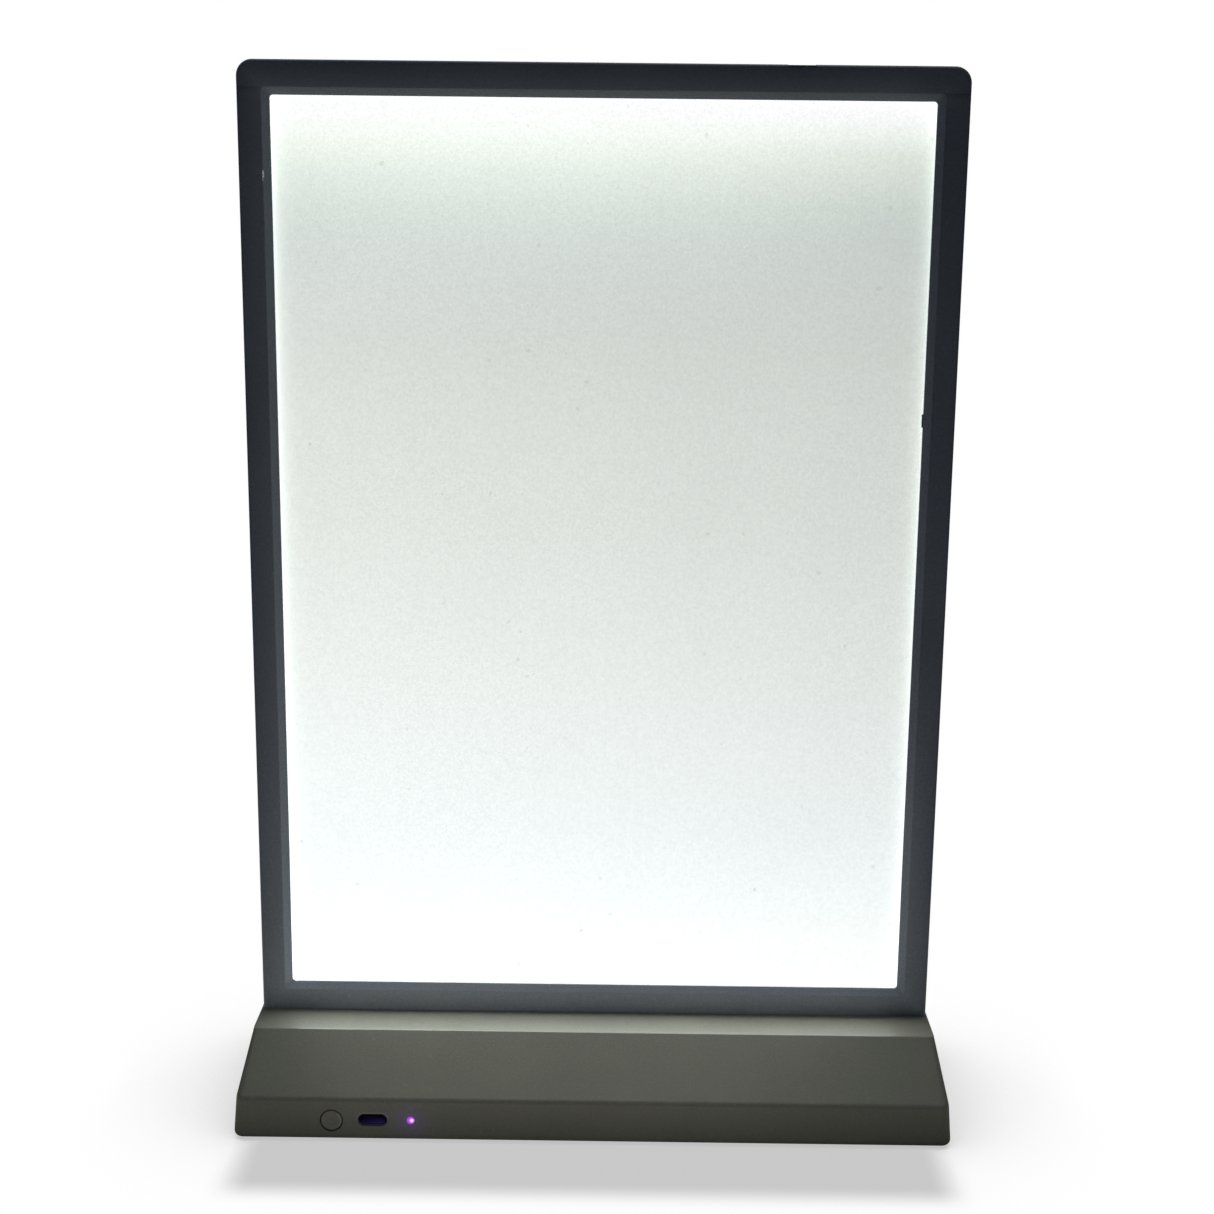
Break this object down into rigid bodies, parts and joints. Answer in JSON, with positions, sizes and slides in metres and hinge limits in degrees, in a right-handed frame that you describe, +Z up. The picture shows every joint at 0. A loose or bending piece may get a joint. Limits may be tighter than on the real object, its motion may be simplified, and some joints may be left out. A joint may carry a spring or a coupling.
{
  "type": "light table",
  "caption": "Upright double-sided edge-lit light table for A4 film and prints, on a low wedge base with a push button, charge socket and indicator.",
  "frame": {"origin": "table level, under the centre of the base", "axes": "+Z up, the front with the button and the charge socket faces -Y, +X to the viewer's right when facing the front"},
  "size_m": [0.2334, 0.0818, 0.3411],
  "materials": {
    "housing_plastic": "fine-grain matte moulding, dark grey",
    "base_plate_plastic": "fine-grain matte moulding",
    "button_plastic": "smooth matte",
    "black_screw": "black oxide",
    "zinc_screw": "zinc plated",
    "foot_rubber": "soft, slightly dusty",
    "cover_acrylic": "clear with an anti-glare grain",
    "opal_diffuser": "opal, lit from behind",
    "light_guide_acrylic": "clear with a printed dot pattern",
    "reflective_tape": "white reflective film",
    "white_board": "white solder mask",
    "led_lamp": "phosphor lamp body",
    "white_cable": "soft sheath",
    "clamp_steel": "galvanised",
    "green_board": "solder mask",
    "chip_black": "moulded epoxy",
    "socket_steel": "nickel plated",
    "socket_plastic": "dark insulator",
    "switch_black": "moulded",
    "plunger_plastic": "moulded",
    "indicator_chip": "lamp body",
    "indicator_lens": "clear light pipe, lit violet",
    "cell_wrap": "shrink wrap",
    "cradle_plastic": "moulded",
    "nickel_strip": "nickel strip",
    "red_wire": "sheath",
    "black_wire": "sheath",
    "plug_white": "moulded"
  },
  "bodies": {
    "stand": {"front_bezel": "housing_plastic", "rear_bezel": "housing_plastic", "base_shell": "housing_plastic", "base_plate": "base_plate_plastic", "bezel_screws": "black_screw", "base_plate_screws": "black_screw", "clamp_screws": "zinc_screw", "board_screws": "zinc_screw", "cradle_screws": "zinc_screw", "rubber_feet": "foot_rubber", "front_diffuser": "opal_diffuser", "rear_diffuser": "opal_diffuser", "light_guide": "light_guide_acrylic", "edge_reflectors": "reflective_tape", "top_led_board": "white_board", "bottom_led_board": "white_board", "top_led_chips": "led_lamp", "bottom_led_chips": "led_lamp", "led_link_cable": "white_cable", "panel_cable": "white_cable", "panel_clamps": "clamp_steel", "control_board": "green_board", "board_components": "chip_black", "usb_c_shell": "socket_steel", "usb_c_tongue": "socket_plastic", "switch_housing": "switch_black", "indicator_led": "indicator_chip", "indicator_lens": "indicator_lens", "battery_cells": "cell_wrap", "battery_cradle": "cradle_plastic", "battery_contacts": "nickel_strip", "battery_lead_red": "red_wire", "battery_lead_black": "black_wire", "battery_plug": "plug_white", "battery_socket": "plug_white", "panel_plug": "plug_white", "panel_socket": "plug_white"},
    "front_cover": {"front_cover_sheet": "cover_acrylic"},
    "rear_cover": {"rear_cover_sheet": "cover_acrylic"},
    "button": {"power_button": "button_plastic"},
    "plunger": {"switch_plunger": "plunger_plastic"}
  },
  "joints": [
    {"name": "front_cover_slide", "type": "slide", "parent": "stand", "child": "front_cover", "axis": [0, 0, 1], "range_m": [0, 0.31]},
    {"name": "rear_cover_slide", "type": "slide", "parent": "stand", "child": "rear_cover", "axis": [0, 0, 1], "range_m": [0, 0.31]},
    {"name": "power_button_press", "type": "slide", "parent": "stand", "child": "button", "axis": [0, 1, 0], "range_m": [0, 0.0005]},
    {"name": "switch_plunger_press", "type": "slide", "parent": "stand", "child": "plunger", "axis": [0, 1, 0], "range_m": [0, 0.0005]}
  ],
  "couplings": [
    {"joint": "switch_plunger_press", "follows": "power_button_press", "ratio": 1}
  ]
}
